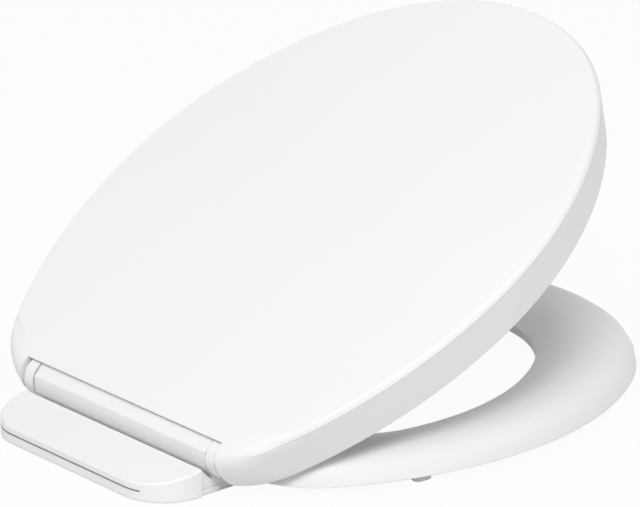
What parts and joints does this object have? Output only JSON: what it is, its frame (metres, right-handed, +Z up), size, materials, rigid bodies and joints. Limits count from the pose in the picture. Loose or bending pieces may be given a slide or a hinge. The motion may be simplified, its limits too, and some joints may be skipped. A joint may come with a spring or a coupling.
{
  "type": "toilet seat",
  "caption": "Closed-front plastic toilet seat with a lid that caps over the ring, soft-close barrel hinge, covered deck and rubber bumpers; bolts to a bowl.",
  "frame": {"origin": "midway between the two mounting holes, on the plane of the bowl's rim", "axes": "+Z up, X along the hinge, the seat points towards -Y"},
  "size_m": [0.362, 0.4276, 0.2235],
  "materials": {
    "white_plastic": "smooth gloss moulding",
    "grey_rubber": "soft matte rubber",
    "damper_plastic": "satin dark moulding",
    "shaft_plastic": "satin natural acetal"
  },
  "bodies": {
    "base": {"hinge_base": "white_plastic", "deck_cover": "white_plastic", "base_pad_right": "grey_rubber", "base_pad_left": "grey_rubber", "lid_damper_body": "damper_plastic", "lid_damper_cap": "damper_plastic", "seat_damper_body": "damper_plastic", "seat_damper_cap": "damper_plastic"},
    "seat": {"seat_ring": "white_plastic", "seat_damper_shaft": "shaft_plastic", "ring_bumper_right_rear": "grey_rubber", "ring_bumper_right_front": "grey_rubber", "ring_bumper_left_rear": "grey_rubber", "ring_bumper_left_front": "grey_rubber"},
    "cover": {"lid": "white_plastic", "lid_damper_shaft": "shaft_plastic", "lid_bumper_right_rear": "grey_rubber", "lid_bumper_right_front": "grey_rubber", "lid_bumper_left_rear": "grey_rubber", "lid_bumper_left_front": "grey_rubber"}
  },
  "joints": [
    {"name": "seat_hinge", "type": "hinge", "parent": "base", "child": "seat", "pos_m": [0, -0.032, 0.023], "axis": [-1, 0, 0], "range_deg": [0, 54]},
    {"name": "lid_hinge", "type": "hinge", "parent": "seat", "child": "cover", "pos_m": [0, -0.032, 0.023], "axis": [-1, 0, 0], "range_deg": [-29.4, 50.6]}
  ]
}
